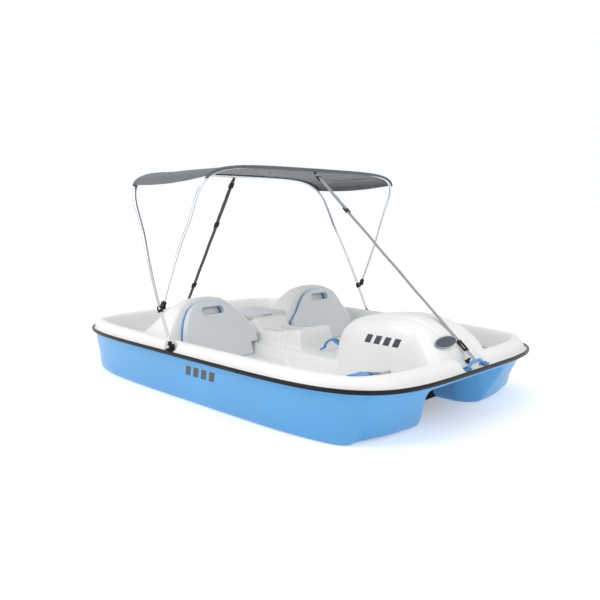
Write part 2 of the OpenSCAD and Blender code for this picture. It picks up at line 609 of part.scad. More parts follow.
module bow_pad_eye() {
  x = 1072;                    // on the slope of the bow's recess
  color([0.06, 0.06, 0.07]) translate([x * scale_l, 0, recess_line(x) + 0.9]) rotate([0, 33, 0]) {
    cylinder(h = 5, r = 11, $fn = 32);
    translate([0, 0, 5 - lap]) difference() {
      translate([-4, -9, 0]) cube([8, 18, 17]);
      translate([-5, 0, 9]) rotate([0, 90, 0]) cylinder(h = 10, r = 4.5, $fn = 24);
    }
  }
}
stern_x = -boat_l / 2 + 104 * scale_l;
eye_z = coaming_z - 1;
module stern_eye() {
  color([0.06, 0.06, 0.07]) {
    box([stern_x - 18, -20, eye_z + tiny], [stern_x + 18, 20, eye_z + 6]);
    difference() {
      box([stern_x - 5, -20, eye_z + 6 - lap], [stern_x + 5, 20, eye_z + 26]);
      box([stern_x - 6, -14.5, eye_z + 10], [stern_x + 6, 14.5, eye_z + 20]);
    }
  }
}
module dome_badge() {
  color([0.2, 0.22, 0.26]) translate([1016 * scale_l, -100 * scale_w, 367.6]) rotate([9, 39, 0])
    linear_extrude(4) badge_outline(30, 74);
}
module badge_outline(a, b) { polygon([for (t = [0 : 10 : 350]) [a * cos(t), b * sin(t)]]); }

// ---- Canopy ----

// A bow lies in a plane through its two feet. s runs up that plane, y across it.
bow_knee = 0.62;               // share of a bow's height where its legs end
bow_square = 5.8;
module place_bow(x, z, lean) { translate([x, 0, z]) rotate([0, lean, 0]) children(); }
function bow_path(half, h, start, leg) = let (k = h * bow_knee, top = half - 36) concat(
  [[half, start], [half, leg], [half - 8, k * 0.6], [half - 20, k * 0.85], [top, k]],
  [for (a = [8 : 8 : 172]) [top * sign(cos(a)) * pow(abs(cos(a)), 2 / bow_square),
    k + (h - k) * pow(sin(a), 2 / bow_square)]],
  [[-top, k], [-half + 20, k * 0.85], [-half + 8, k * 0.6], [-half, leg], [-half, start]]);
module tube_along(path, r, sides) {
  n = len(path);
  rings = [for (i = [0 : n - 1]) let (
      a = path[max(0, i - 1)], b = path[min(n - 1, i + 1)], d = (b - a) / norm(b - a), side = [-d[1], d[0]])
    each [for (k = [0 : sides - 1]) let (t = k * 360 / sides)
      [r * sin(t), path[i][0] + r * cos(t) * side[0], path[i][1] + r * cos(t) * side[1]]]];
  walls = [for (i = [0 : n - 2]) for (k = [0 : sides - 1]) let (
      a = i * sides + k, b = i * sides + (k + 1) % sides)
    each [[a, b, a + sides], [b, b + sides, a + sides]]];
  caps = [[for (k = [sides - 1 : -1 : 0]) k], [for (k = [0 : sides - 1]) (n - 1) * sides + k]];
  polyhedron(concat(rings), concat(walls, caps), convexity = 4);
}
clamp_x = pivot_at - clamp_s * sin(main_lean);
clamp_z = pivot_z + clamp_s * cos(main_lean);

module main_bow() {
  color([0.78, 0.79, 0.81]) place_bow(pivot_at, pivot_z, -main_lean)
    tube_along(bow_path(bow_half, main_h, 24, clamp_s + 30), tube_r, 14);
}
module bow_end(y) {
  difference() {
    union() {
      translate([0, y, 0]) rotate([90, 0, 0]) cylinder(h = 16, r = 12, $fn = 40, center = true);
      translate([-8, y - 8, 0]) cube([16, 16, 23.7]);
    }
    translate([0, y, 0]) rotate([90, 0, 0]) cylinder(h = 20, r = 4 + run_gap, $fn = 32, center = true);
  }
}
module main_bow_ends() {
  color([0.08, 0.08, 0.09]) place_bow(pivot_at, pivot_z, -main_lean) both_sides() bow_end(bow_half);
}
mount_z = pad_z + tiny;        // underside of the mounts' base plates
module canopy_mounts() {
  color([0.07, 0.07, 0.08]) both_sides() difference() {
    union() {
      box([pivot_at - 30, bow_half - 22, mount_z], [pivot_at + 30, bow_half + 16, mount_z + 4]);
      for (y = [bow_half - 14, bow_half + 8.5])
        box([pivot_at - 12, y, mount_z + 4 - lap], [pivot_at + 12, y + 5.5, pivot_z + 10]);
    }
    y_rod(pivot_at, bow_half - 20, bow_half + 20, pivot_z, 4 + 0.02);
    for (x = [-22, 22]) z_rod(pivot_at + x, bow_half - 4, mount_z - 1, mount_z + 5, 3);
  }
}
module mount_screws() {
  color([0.7, 0.7, 0.72]) both_sides() for (x = [-22, 22]) {
    z_rod(pivot_at + x, bow_half - 4, mount_z + 0.1, mount_z + 4 + 2 * lap, 2.9, 20);
    z_rod(pivot_at + x, bow_half - 4, mount_z + 4 + lap, mount_z + 6.5, 5.5, 24);
  }
}
module mount_pins() {
  color([0.75, 0.75, 0.77]) both_sides() {
    y_rod(pivot_at, bow_half - 16, bow_half + 16, pivot_z, 4, 32);
    y_rod(pivot_at, bow_half + 14 + 0.1, bow_half + 18, pivot_z, 7, 24);
  }
}
module hinge_clamps() {
  color([0.06, 0.06, 0.07]) place_bow(pivot_at, pivot_z, -main_lean) both_sides() translate([0, 0, clamp_s])
    difference() {
      union() {
        cylinder_block(bow_half);
        translate([tube_r, bow_half - 6, -9]) cube([22, 12, 18]);
      }
      translate([0, bow_half, -30]) cylinder(h = 60, r = tube_r + 0.15, $fn = 48);
      translate([tube_r + 16, bow_half - 20, 0]) rotate([-90, 0, 0]) cylinder(h = 40, r = 3.5 + 0.02, $fn = 32);
    }
}
module cylinder_block(y) { translate([0, y, -15]) cylinder(h = 30, r = tube_r + 5, $fn = 48); }
hinge_out = tube_r + 16;       // clamp hinge pin ahead of the leg's axis
hinge_x = clamp_x + hinge_out * cos(main_lean);
hinge_z = clamp_z + hinge_out * sin(main_lean);
module clamp_pins() {
  color([0.75, 0.75, 0.77]) both_sides() {
    y_rod(hinge_x, bow_half - 20, bow_half + 20, hinge_z, 3.5, 32);
    y_rod(hinge_x, bow_half + 18, bow_half + 21, hinge_z, 6.5, 24);
  }
}
module front_bow() {
  color([0.78, 0.79, 0.81]) place_bow(hinge_x, hinge_z, front_lean)
    tube_along(bow_path(bow_half, front_h, 34, 90), tube_r - 1.5, 14);
}
module fork_end() {
  translate([0, bow_half, 0]) difference() {
    union() {
      for (y = [6 + tiny, -11.5 - tiny]) {
        translate([0, y, 0]) rotate([-90, 0, 0]) cylinder(h = 5.5, r = 10, $fn = 40);
        translate([-8, y, 0]) cube([16, 5.5, 30]);
      }
      translate([-8, -11.5 - tiny, 22]) cube([16, 23 + 2 * tiny, 11.7]);
    }
    rotate([90, 0, 0]) cylinder(h = 40, r = 3.5 + run_gap, $fn = 32, center = true);
  }
}
module front_bow_ends() {
  color([0.08, 0.08, 0.09]) place_bow(hinge_x, hinge_z, front_lean) both_sides() fork_end();
}

// Fabric: from over the main bow's top to over the front bow's top, with short sides.
function bow_point(x, z, lean, half, h, a, out) = let (k = h * bow_knee, top = half - 36,
    y = (top + out) * sign(cos(a)) * pow(abs(cos(a)), 2 / bow_square),
    s = k + (h - k + out) * pow(max(0, sin(a)), 2 / bow_square))
  [x + s * sin(lean), y, z + s * cos(lean)];
fabric_out = tube_r + fabric_t - 0.6;
function fabric_point(p, q) = let (a = mix(27, 153, (q + 1) / 2), t = (p + 1) / 2 * 1.08 - 0.04,
    rear = bow_point(pivot_at, pivot_z, -main_lean, bow_half, main_h, a, fabric_out),
    front = bow_point(hinge_x, hinge_z, front_lean, bow_half, front_h, a, fabric_out))
  rear + (front - rear) * t + [0, 0, -14 * (1 - pow(2 * t - 1, 2))];
module canopy_fabric() {
  ps = [for (i = [0 : 12]) i / 6 - 1];
  qs = [for (i = [0 : 24]) i / 12 - 1];
  color([0.36, 0.38, 0.4]) grid_shell(ps, qs, function(u, v) fabric_point(u, v), -fabric_t);
}

// ---- Straps ----

function on_bow(x, z, lean, h) = [x + h * sin(lean), 0, z + h * cos(lean)];
main_top = on_bow(pivot_at, pivot_z, -main_lean, main_h);
front_top = on_bow(hinge_x, hinge_z, front_lean, front_h);
strap_t = 2;
rear_hang = main_top + [0, 0, -tube_r - 5];
rear_foot = [stern_x, 0, eye_z + 15];
front_hang = front_top + [0, 0, -tube_r - 5];
front_foot = [bow_x, 0, bow_z + 28];

// Places children on a strap's line: local +X along the strap, +Y across it, s mm from its start.
module on_strap(from, to, s) {
  d = to - from;
  translate(from) rotate([0, -atan2(d[2], d[0]), 0]) translate([s, 0, 0]) children();
}
module web_run(from, to, start, end) {
  on_strap(from, to, start) translate([0, -strap_w / 2, -strap_t / 2]) cube([end - start, strap_w, strap_t]);
}
module buckle(from, to, s, l) {
  on_strap(from, to, s) difference() {
    translate([-l / 2, -strap_w / 2 - 5, -4]) cube([l, strap_w + 10, 8]);
    translate([-l, -strap_w / 2 - 0.5, -strap_t / 2 - tiny]) cube([2 * l, strap_w + 1, strap_t + 2 * tiny]);
  }
}
rear_l = norm(rear_foot - rear_hang);
front_l = norm(front_foot - front_hang);
module rear_strap() { color([0.2, 0.21, 0.23]) web_run(rear_hang, rear_foot, 14, rear_l - 14); }
module rear_strap_fittings() {
  color([0.05, 0.05, 0.06]) {
    for (s = [50, 330, 800]) buckle(rear_hang, rear_foot, s, 34);
    on_strap(rear_hang, rear_foot, 0) translate([-3, -9, -3]) cube([17 - tiny, 18, 6]);
  }
}
snap_s = front_l - 101;
module front_strap() { color([0.2, 0.21, 0.23]) web_run(front_hang, front_foot, 14, snap_s - 24 - tiny); }
module front_strap_fittings() {
  color([0.05, 0.05, 0.06]) {
    for (s = [46, 300]) buckle(front_hang, front_foot, s, 34);
    on_strap(front_hang, front_foot, 0) translate([-3, -9, -3]) cube([17 - tiny, 18, 6]);
    on_strap(front_hang, front_foot, snap_s - 24) difference() {
      translate([0, -17, -4]) cube([62, 34, 8]);
      translate([18, -9, -6]) cube([30, 18, 12]);
    }
  }
}
module strap_deck_loop() {
  color([0.25, 0.26, 0.28]) union() {
    web_run(front_hang, front_foot, snap_s + 38 + tiny, front_l - 7.5 - tiny);
  }
}

hull_shell();
deck_shell();
rub_rail();
rail_joint_caps();
starboard_float();
port_float();
wheel_housing();
crank_bearings();
bearing_screws();
crankshaft();
paddle_wheel();
wheel_bolts();
pedal_starboard_outer();
pedal_starboard_inner();
pedal_port_inner();
pedal_port_outer();
steering_bush();
steering_handle();
steering_arm();
steering_rod();
rudder_bush();
rudder_shaft();
rudder_blade();
rudder_nut();
starboard_back_front();
starboard_back_rear();
port_back_front();
port_back_rear();
cooler_tub();
cooler_lid();
cooler_hinge_pin();
cup_holders();
drain_plugs();
bow_handle();
bow_handle_screws();
bow_pad_eye();
stern_eye();
dome_badge();
canopy_mounts();
mount_screws();
mount_pins();
main_bow();
main_bow_ends();
hinge_clamps();
clamp_pins();
front_bow();
front_bow_ends();
canopy_fabric();
rear_strap();
rear_strap_fittings();
front_strap();
front_strap_fittings();
strap_deck_loop();
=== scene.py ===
"""Looks of the pedal boat: fine mouldings, canopy, tubes, straps, materials, camera and light."""
import json
import math

import bmesh
import bpy
import numpy as np
from mathutils import Matrix, Vector


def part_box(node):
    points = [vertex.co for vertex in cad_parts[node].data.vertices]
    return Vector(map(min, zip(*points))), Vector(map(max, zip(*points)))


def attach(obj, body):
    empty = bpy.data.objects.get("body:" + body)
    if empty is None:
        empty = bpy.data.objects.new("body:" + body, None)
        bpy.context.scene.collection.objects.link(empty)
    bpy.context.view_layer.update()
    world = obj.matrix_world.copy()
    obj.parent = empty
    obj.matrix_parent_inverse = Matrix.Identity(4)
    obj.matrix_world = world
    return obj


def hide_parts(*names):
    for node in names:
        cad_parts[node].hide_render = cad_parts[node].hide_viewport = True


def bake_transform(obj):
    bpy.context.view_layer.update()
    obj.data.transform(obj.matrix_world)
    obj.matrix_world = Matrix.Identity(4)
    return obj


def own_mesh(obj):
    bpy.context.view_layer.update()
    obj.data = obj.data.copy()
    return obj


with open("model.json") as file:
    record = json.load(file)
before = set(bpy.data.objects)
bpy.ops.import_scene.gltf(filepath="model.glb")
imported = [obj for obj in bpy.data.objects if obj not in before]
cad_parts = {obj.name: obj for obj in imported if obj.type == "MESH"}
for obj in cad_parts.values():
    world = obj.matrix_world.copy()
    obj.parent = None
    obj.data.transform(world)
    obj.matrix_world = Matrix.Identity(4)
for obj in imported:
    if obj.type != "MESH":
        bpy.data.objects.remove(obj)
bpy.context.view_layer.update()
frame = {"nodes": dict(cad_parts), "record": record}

MM = 0.001                 # a millimetre in metres
TINY = 0.3                 # clearance between pieces that would touch, in millimetres

# ---- Driving sizes, in millimetres, as in the design ----

rail_lo, rail_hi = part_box("rub_rail")
BOAT_L = (rail_hi[0] - rail_lo[0]) / MM
BOAT_W = (rail_hi[1] - rail_lo[1]) / MM
RAIL_OUT = 8
TUBE_R = 9
JOINT_Z = 245
SKIN = 5
BOW_N, STERN_N = 4.8, 5.5
HALF_L = BOAT_L / 2 - RAIL_OUT
HALF_W = BOAT_W / 2 - RAIL_OUT
FLANGE_Z = JOINT_Z + TINY + SKIN
COAMING_Z = 300
SEAT_Z, FLOOR_Z, HUMP_Z, DOME_Z, HOOD_Z = 145, 110, 200, 462, 471
SEAT_Y = 430
TUNNEL_HALF, TUNNEL_Z = 168, 185
PAD_Z = FLANGE_Z + 4


# ---- Shape functions on numpy arrays ----

def rise(a, b, x):
    """A smooth step from 0 at a to 1 at b."""
    t = np.clip((x - a) / (b - a), 0, 1)
    return t * t * (3 - 2 * t)


def mix(a, b, t):
    return a + (b - a) * t


def lookup(x, table):
    """The value at x on straight lines through the table's points."""
    xs, ys = zip(*table)
    return np.interp(x, xs, ys)


def plan(u, v):
    """Plan place and ring number of the square coordinate (u, v)."""
    m = np.maximum(abs(u), abs(v))
    n = np.where(u > 0, BOW_N, STERN_N)
    round_m = (abs(u) ** n + abs(v) ** n) ** (1 / n)
    stretch = np.where(m == 0, 1, 1 + (m / np.maximum(round_m, 1e-9) - 1) * m ** 4)
    return HALF_L * u * stretch, HALF_W * v * stretch, m


def hull_height(u, v):
    """Height of the hull's outside: side wall, grooves and tunnel."""
    x, y, m = plan(u, v)
    end = rise(-0.1, 0.1, abs(u) - abs(v))
    foot = mix(0.93, np.where(u > 0, 0.875, 0.935), end)
    t = (m - foot) / (0.982 - foot)
    wall = (JOINT_Z - SKIN) * lookup(t, [
        (-0.6, 0), (-0.25, 0.012), (0, 0.06), (0.14, 0.18), (0.9, 0.96), (1, 1)])
    depth = 7 + 9 * rise(500, 900, x)          # two grooves under each pontoon, deeper at the bow
    notch = depth * (1 - rise(0, 30, abs(abs(y) - 540))) + depth * (1 - rise(0, 28, abs(abs(y) - 385)))
    edge = TUNNEL_HALF + 105 * rise(880, 1100, x) + 60 * rise(1000, 1090, x)
    tunnel = (TUNNEL_Z + 22 * rise(1022, 1120, x)) * (1 - rise(edge - 8, edge + 46, abs(y)))
    return np.maximum(np.maximum(wall, notch), tunnel)


def back_bell(d):
    """Outline of a seat back as a share of its height, at distance d outboard of its middle."""
    outboard = lookup(d, [(0, 1), (60, 0.985), (120, 0.93), (175, 0.79), (225, 0.54), (262, 0.3), (300, 0)])
    inboard = lookup(-d, [(0, 1), (60, 0.985), (120, 0.93), (185, 0.7), (250, 0.41), (310, 0.14), (340, 0)])
    return np.where(d > 0, outboard, inboard)


def deck_height(u, v):
    """Height of the deck's top: floors, hump, console, bridge, hoods, paddle cover and coaming."""
    x, y, m = plan(u, v)
    a = abs(y)
    low = np.where(x < -560, 150, mix(SEAT_Z, mix(FLOOR_Z, 65, rise(470, 560, x)), rise(95, 125, x)))
    hump_top = HUMP_Z + 24 * (1 - rise(-905, -800, x))
    hump = hump_top - (hump_top - 60) * rise(178, 222, a)
    line = lookup(x, [(-600, 150), (-560, 318), (-540, 322), (-234, 322), (-199, 265), (-88, 265), (0, 281),
                      (100, 304), (122, 302), (133, 288), (141, 200)])
    flutes = 7 * sum(np.exp(-((x - place) / 7) ** 2) for place in (-62, -20, 22))
    console = line - (line - 60) * rise(126 - flutes, 150 - flutes, a)
    bridge = np.where((x < -320) & (x > -570), mix(100, 322, 1 - rise(165, 205, a)), 0)
    crest = mix(260, HOOD_Z, back_bell(a - SEAT_Y))
    roof = lookup(x, [
        (-740, 0), (-700, 0.22), (-600, 0.45), (-500, 0.7), (-420, 0.9), (-375, 0.98), (-340, 1)])
    hood = np.minimum(mix(150, crest, roof), SEAT_Z + (-199 - x) * 3)
    top = DOME_Z * lookup(x, [
        (360, 0.43), (376, 0.5), (392, 0.64), (414, 0.75), (442, 0.83), (480, 0.888), (540, 0.935),
        (650, 0.974), (750, 0.998), (830, 1), (890, 0.975), (940, 0.925), (980, 0.86), (1016, 0.79),
        (1044, 0.7), (1056, 0.62)])
    spread = lookup(x, [(360, 0.5), (392, 0.66), (440, 0.84), (490, 0.95), (550, 1), (880, 1), (1010, 1.22),
                        (1100, 1.3)])
    side = lookup(a / spread, [
        (0, 1), (70, 0.998), (100, 0.99), (112, 0.975), (145, 0.945), (168, 0.87), (186, 0.74), (200, 0.56),
        (214, 0.33), (228, 0.12), (242, 0)])
    groove = 8 * np.exp(-((a - 112 + 0.03 * (x - 600)) / 7) ** 2) * rise(400, 470, x)
    dome = np.where((x < 360) | (x > 1058), 0, mix(60, top, side) - groove)
    inner = np.maximum.reduce([low, hump, console, bridge, hood, dome])
    ramp = lookup(m, [(0.868, 0), (0.876, 0.03), (0.884, 0.2), (0.898, 0.84), (0.906, 0.95), (0.918, 1)])
    edge = FLANGE_Z + (COAMING_Z - FLANGE_Z) * lookup(
        m, [(0.93, 1), (0.945, 0.97), (0.957, 0.85), (0.968, 0.6), (0.98, 0.2), (0.986, 0)])
    outer = np.where(m > 0.93, edge, mix(low, COAMING_Z, ramp))
    recess = lookup(x, [(1046, 320), (1056, 281), (1076, 268), (1090, PAD_Z)])
    pad = np.where((m > 0.94) & (x > -180) & (x < -84), PAD_Z,
                   np.where((x > 1046) & (a < 105), recess, 1000))
    return np.minimum(pad, np.maximum(outer, np.where(m < 0.9, inner, dome)))


def soften(z, rounds, keep):
    """Rounds the folds of a grid of heights, and leaves its outermost keep rows as they are."""
    for _ in range(rounds):
        s = z.copy()
        s[1:-1] = (z[:-2] + 2 * z[1:-1] + z[2:]) / 4
        t = s.copy()
        t[:, 1:-1] = (s[:, :-2] + 2 * s[:, 1:-1] + s[:, 2:]) / 4
        t[:keep], t[-keep:], t[:, :keep], t[:, -keep:] = z[:keep], z[-keep:], z[:, :keep], z[:, -keep:]
        z = t
    return z


# ---- Making pieces ----

def new_piece(name, verts, faces, body, material, replaced=()):
    """A mesh object in a material slot. It rides on body, if given, and stands for the replaced nodes."""
    mesh = bpy.data.meshes.new(name)
    mesh.from_pydata([tuple(float(c) for c in p) for p in verts], [],
                     [tuple(int(i) for i in f) for f in faces])
    mesh.validate()
    mesh.polygons.foreach_set("use_smooth", [True] * len(mesh.polygons))
    mesh.update()
    piece = bpy.data.objects.new(name, mesh)
    bpy.context.scene.collection.objects.link(piece)
    mesh.materials.append(material)
    if body:
        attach(piece, body)
    if replaced:
        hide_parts(*replaced)
    return piece


def apply_modifiers(piece):
    """Swaps the mesh for the one that its modifiers make."""
    graph = bpy.context.evaluated_depsgraph_get()
    mesh = bpy.data.meshes.new_from_object(piece.evaluated_get(graph))
    piece.modifiers.clear()
    piece.data = mesh


def sharpen(piece, angle):
    """Smooth shading apart from edges sharper than angle degrees."""
    limit = math.radians(angle)
    bm = bmesh.new()
    bm.from_mesh(piece.data)
    for face in bm.faces:
        face.smooth = True
    for edge in bm.edges:
        edge.smooth = len(edge.link_faces) == 2 and edge.calc_face_angle(0) < limit
    bm.to_mesh(piece.data)
    bm.free()


def grid_faces(rows, cols, keep):
    """Squares of a grid whose four corners are all kept."""
    faces = []
    for i in range(rows - 1):
        for j in range(cols - 1):
            a = i * cols + j
            corners = (a, a + cols, a + cols + 1, a + 1)
            if all(keep[c] for c in corners):
                faces.append(corners)
    return faces


def lines(edges, extra, inner, outer):
    """Grid lines from -1 to 1, denser past edges, with the nearest line moved onto each extra place."""
    half = list(np.linspace(0, edges, inner)) + list(np.linspace(edges, 1, outer))[1:]
    both = sorted([-t for t in half[1:]] + half)
    for e in extra:
        both[int(np.argmin([abs(t - e) for t in both]))] = e
    return np.array(both)


def moulding(name, height, us, vs, hole, thick, slot, node):
    """A moulded shell: a fine grid of heights, with holes. Its wall stands over the grid, or under it if the
    thickness is below zero."""
    u, v = np.meshgrid(us, vs, indexing="ij")
    x, y, _ = plan(u, v)
    z = soften(height(u, v), rounds=3, keep=3)
    keep = ~hole(x, y).ravel()
    verts = np.stack([x.ravel(), y.ravel(), z.ravel()], 1) * MM
    faces = grid_faces(len(us), len(vs), keep)
    if thick > 0:
        faces = [f[::-1] for f in faces]
    used = sorted({i for f in faces for i in f})
    index = {old: new for new, old in enumerate(used)}
    piece = new_piece(name, verts[used], [[index[i] for i in f] for f in faces], body_of_node[node],
                      looks[slot], (node,))
    shell = piece.modifiers.new("wall", "SOLIDIFY")
    shell.thickness = abs(thick) * MM
    shell.offset = -1
    apply_modifiers(piece)
    sharpen(piece, 50)


def sweep(path, section, up=None, closed=False):
    """Rings of a section (list of (across, up)) along a path; returns vertices and faces."""
    path = [Vector(p) for p in path]
    n, k = len(path), len(section)
    verts = []
    for i, p in enumerate(path):
        before = path[i - 1] if closed or i else path[0]
        after = path[(i + 1) % n] if closed or i < n - 1 else path[-1]
        along = (after - before).normalized()
        side = along.cross(up or Vector((0, 0, 1))).normalized()
        top = side.cross(along).normalized()
        verts += [p + side * a + top * b for a, b in section]
    faces = []
    for i in range(n if closed else n - 1):
        j = (i + 1) % n
        for s in range(k):
            t = (s + 1) % k
            faces.append((i * k + s, i * k + t, j * k + t, j * k + s))
    if not closed:
        faces.append(tuple(range(k - 1, -1, -1)))
        faces.append(tuple((n - 1) * k + s for s in range(k)))
    return verts, faces


def circle(r, sides):
    turns = [2 * math.pi * i / sides for i in range(sides)]
    return [(r * math.cos(a), r * math.sin(a)) for a in turns]


def refined(node, bevel, segments=3, rides=True, shape=None):
    """A copy of a CAD node with its edges rounded over, and its points moved by shape if that is given.
    It rides on the node's body unless rides is off."""
    source = frame["nodes"][node]
    piece = bpy.data.objects.new(node + "_fine", source.data.copy())
    bpy.context.scene.collection.objects.link(piece)
    bm = bmesh.new()
    bm.from_mesh(piece.data)
    bmesh.ops.remove_doubles(bm, verts=bm.verts, dist=1e-5)
    bmesh.ops.dissolve_limit(bm, angle_limit=math.radians(1), verts=bm.verts, edges=bm.edges)
    bm.to_mesh(piece.data)
    bm.free()
    tool = piece.modifiers.new("edges", "BEVEL")
    tool.width = bevel * MM
    tool.segments = segments
    tool.limit_method = "ANGLE"
    tool.angle_limit = math.radians(BEVEL_ANGLE)
    tool.use_clamp_overlap = True
    tool.harden_normals = False
    apply_modifiers(piece)
    sharpen(piece, BEVEL_ANGLE + 2)
    piece.data.materials.clear()
    piece.data.materials.append(look(node))
    if shape:
        for vertex in piece.data.vertices:
            vertex.co = shape(vertex.co)
    if rides:
        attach(piece, body_of_node[node])
    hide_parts(node)
    return piece


# ---- Materials ----

def nodes_of(material):
    material.use_nodes = True
    tree = material.node_tree
    return tree, tree.nodes, tree.links, tree.nodes["Principled BSDF"]


def noise(tree, scale, detail=4, rough=0.55, stretch=(1, 1, 1)):
    coords = tree.nodes.new("ShaderNodeTexCoord")
    place = tree.nodes.new("ShaderNodeMapping")
    place.inputs["Scale"].default_value = stretch
    tree.links.new(coords.outputs["Object"], place.inputs["Vector"])
    made = tree.nodes.new("ShaderNodeTexNoise")
    made.inputs["Scale"].default_value = scale
    made.inputs["Detail"].default_value = detail
    made.inputs["Roughness"].default_value = rough
    tree.links.new(place.outputs["Vector"], made.inputs["Vector"])
    return made.outputs["Fac"]


def remap(tree, value, lo, hi, out_lo, out_hi):
    made = tree.nodes.new("ShaderNodeMapRange")
    for name, number in zip(("From Min", "From Max", "To Min", "To Max"), (lo, hi, out_lo, out_hi)):
        made.inputs[name].default_value = number
    tree.links.new(value, made.inputs["Value"])
    return made.outputs["Result"]


def two_tone(tree, value, dark, light):
    made = tree.nodes.new("ShaderNodeMix")
    made.data_type = "RGBA"
    made.inputs[6].default_value = (*dark, 1)
    made.inputs[7].default_value = (*light, 1)
    tree.links.new(value, made.inputs[0])
    return made.outputs[2]


def bump(tree, value, strength, distance, below=None):
    made = tree.nodes.new("ShaderNodeBump")
    made.inputs["Strength"].default_value = strength
    made.inputs["Distance"].default_value = distance
    tree.links.new(value, made.inputs["Height"])
    if below:
        tree.links.new(below, made.inputs["Normal"])
    return made.outputs["Normal"]


def plastic(name, color, rough, grain, grain_scale, variation, coat=0.0, shine=0.5):
    """Moulded plastic: slow tone changes, fine grain and uneven gloss."""
    material = bpy.data.materials.new(name)
    tree, _, links, shader = nodes_of(material)
    slow = noise(tree, 2.2, 3)
    tone = two_tone(tree, remap(tree, slow, 0.3, 0.7, 0, 1), [c * (1 - variation) for c in color],
                    [min(1, c * (1 + variation * 0.6)) for c in color])
    links.new(tone, shader.inputs["Base Color"])
    uneven = noise(tree, 14, 5, 0.6)
    links.new(remap(tree, uneven, 0.3, 0.7, rough * 0.85, rough * 1.2), shader.inputs["Roughness"])
    fine = noise(tree, grain_scale, 2)
    waves = bump(tree, noise(tree, 7, 2), 0.12, 0.004)
    links.new(bump(tree, fine, grain, 0.0004, waves), shader.inputs["Normal"])
    shader.inputs["Coat Weight"].default_value = coat
    shader.inputs["Specular IOR Level"].default_value = shine
    shader.inputs["Coat Roughness"].default_value = 0.12
    return material


def metal(name, color, rough, brushed=(1, 1, 1), dark=0.85):
    """Brushed or plated metal: streaks along the work and a few dull patches."""
    material = bpy.data.materials.new(name)
    tree, _, links, shader = nodes_of(material)
    shader.inputs["Metallic"].default_value = 1
    streaks = noise(tree, 220, 4, 0.6, brushed)
    links.new(two_tone(tree, streaks, [c * dark for c in color], color), shader.inputs["Base Color"])
    patches = noise(tree, 9, 4)
    links.new(remap(tree, patches, 0.3, 0.75, rough * 0.7, rough * 1.4), shader.inputs["Roughness"])
    links.new(bump(tree, streaks, 0.15, 0.0002), shader.inputs["Normal"])
    return material


def wave_pair(tree, scale, axes):
    """Warp and weft bands as one height value."""
    made = []
    for axis in axes:
        coords = tree.nodes.new("ShaderNodeTexCoord")
        bands = tree.nodes.new("ShaderNodeTexWave")
        bands.wave_type = "BANDS"
        bands.bands_direction = axis
        bands.inputs["Scale"].default_value = scale
        bands.inputs["Distortion"].default_value = 0.4
        bands.inputs["Detail"].default_value = 1
        tree.links.new(coords.outputs["Object"], bands.inputs["Vector"])
        made.append(bands.outputs["Fac"])
    product = tree.nodes.new("ShaderNodeMath")
    product.operation = "MULTIPLY"
    tree.links.new(made[0], product.inputs[0])
    tree.links.new(made[1], product.inputs[1])
    return product.outputs["Value"]


def cloth(name, color, scale, axes, sheen=0.25):
    """Woven cloth: weave bump, faded patches and sheen."""
    rough, variation = 0.75, 0.18
    material = bpy.data.materials.new(name)
    tree, _, links, shader = nodes_of(material)
    weave = wave_pair(tree, scale, axes)
    patches = noise(tree, 5, 5, 0.6)
    tone = two_tone(tree, remap(tree, patches, 0.3, 0.7, 0, 1), [c * (1 - variation) for c in color],
                    [c * (1 + variation) for c in color])
    thread = tree.nodes.new("ShaderNodeMix")
    thread.data_type = "RGBA"
    thread.blend_type = "MULTIPLY"
    thread.inputs[0].default_value = 0.35
    links.new(tone, thread.inputs[6])
    links.new(two_tone(tree, weave, (0.55, 0.55, 0.55), (1, 1, 1)), thread.inputs[7])
    links.new(thread.outputs[2], shader.inputs["Base Color"])
    links.new(remap(tree, patches, 0.3, 0.7, rough * 0.9, min(1, rough * 1.1)), shader.inputs["Roughness"])
    folds = bump(tree, noise(tree, 24, 3), 0.25, 0.003)
    links.new(bump(tree, weave, 0.5, 0.0006, folds), shader.inputs["Normal"])
    shader.inputs["Sheen Weight"].default_value = sheen
    return material


def stripe_mask(tree, bars):
    """1 inside any of the boxes ((x0, x1), (z0, z1), slope), slanted by their slope, and 0 outside."""
    coords = tree.nodes.new("ShaderNodeTexCoord")
    parts = tree.nodes.new("ShaderNodeSeparateXYZ")
    tree.links.new(coords.outputs["Object"], parts.inputs["Vector"])

    def math_node(kind, a, b):
        made = tree.nodes.new("ShaderNodeMath")
        made.operation = kind
        for socket, value in zip(made.inputs, (a, b)):
            if isinstance(value, (int, float)):
                socket.default_value = value
            else:
                tree.links.new(value, socket)
        return made.outputs["Value"]

    total = None
    for (x0, x1), (z0, z1), slope in bars:
        shear = math_node("SUBTRACT", parts.outputs["X"],
                          math_node("MULTIPLY", math_node("SUBTRACT", parts.outputs["Z"], z0), slope))
        inside = math_node("MULTIPLY",
                           math_node("MULTIPLY", math_node("GREATER_THAN", shear, x0),
                                     math_node("LESS_THAN", shear, x1)),
                           math_node("MULTIPLY", math_node("GREATER_THAN", parts.outputs["Z"], z0),
                                     math_node("LESS_THAN", parts.outputs["Z"], z1)))
        total = inside if total is None else math_node("MAXIMUM", total, inside)
    return total


def add_stripes(material, bars, color):
    tree, _, links, shader = nodes_of(material)
    base = shader.inputs["Base Color"].links[0].from_socket
    made = tree.nodes.new("ShaderNodeMix")
    made.data_type = "RGBA"
    made.inputs[7].default_value = (*color, 1)
    links.new(stripe_mask(tree, bars), made.inputs[0])
    links.new(base, made.inputs[6])
    links.new(made.outputs[2], shader.inputs["Base Color"])


WEAVE = 420                # bands of weave in the webbing


def slanted_bars(first, width, pitch, heights):
    """Four slanted bars in a row along the boat, in metres."""
    return [((first + pitch * i, first + width + pitch * i), heights, 0.35) for i in range(4)]


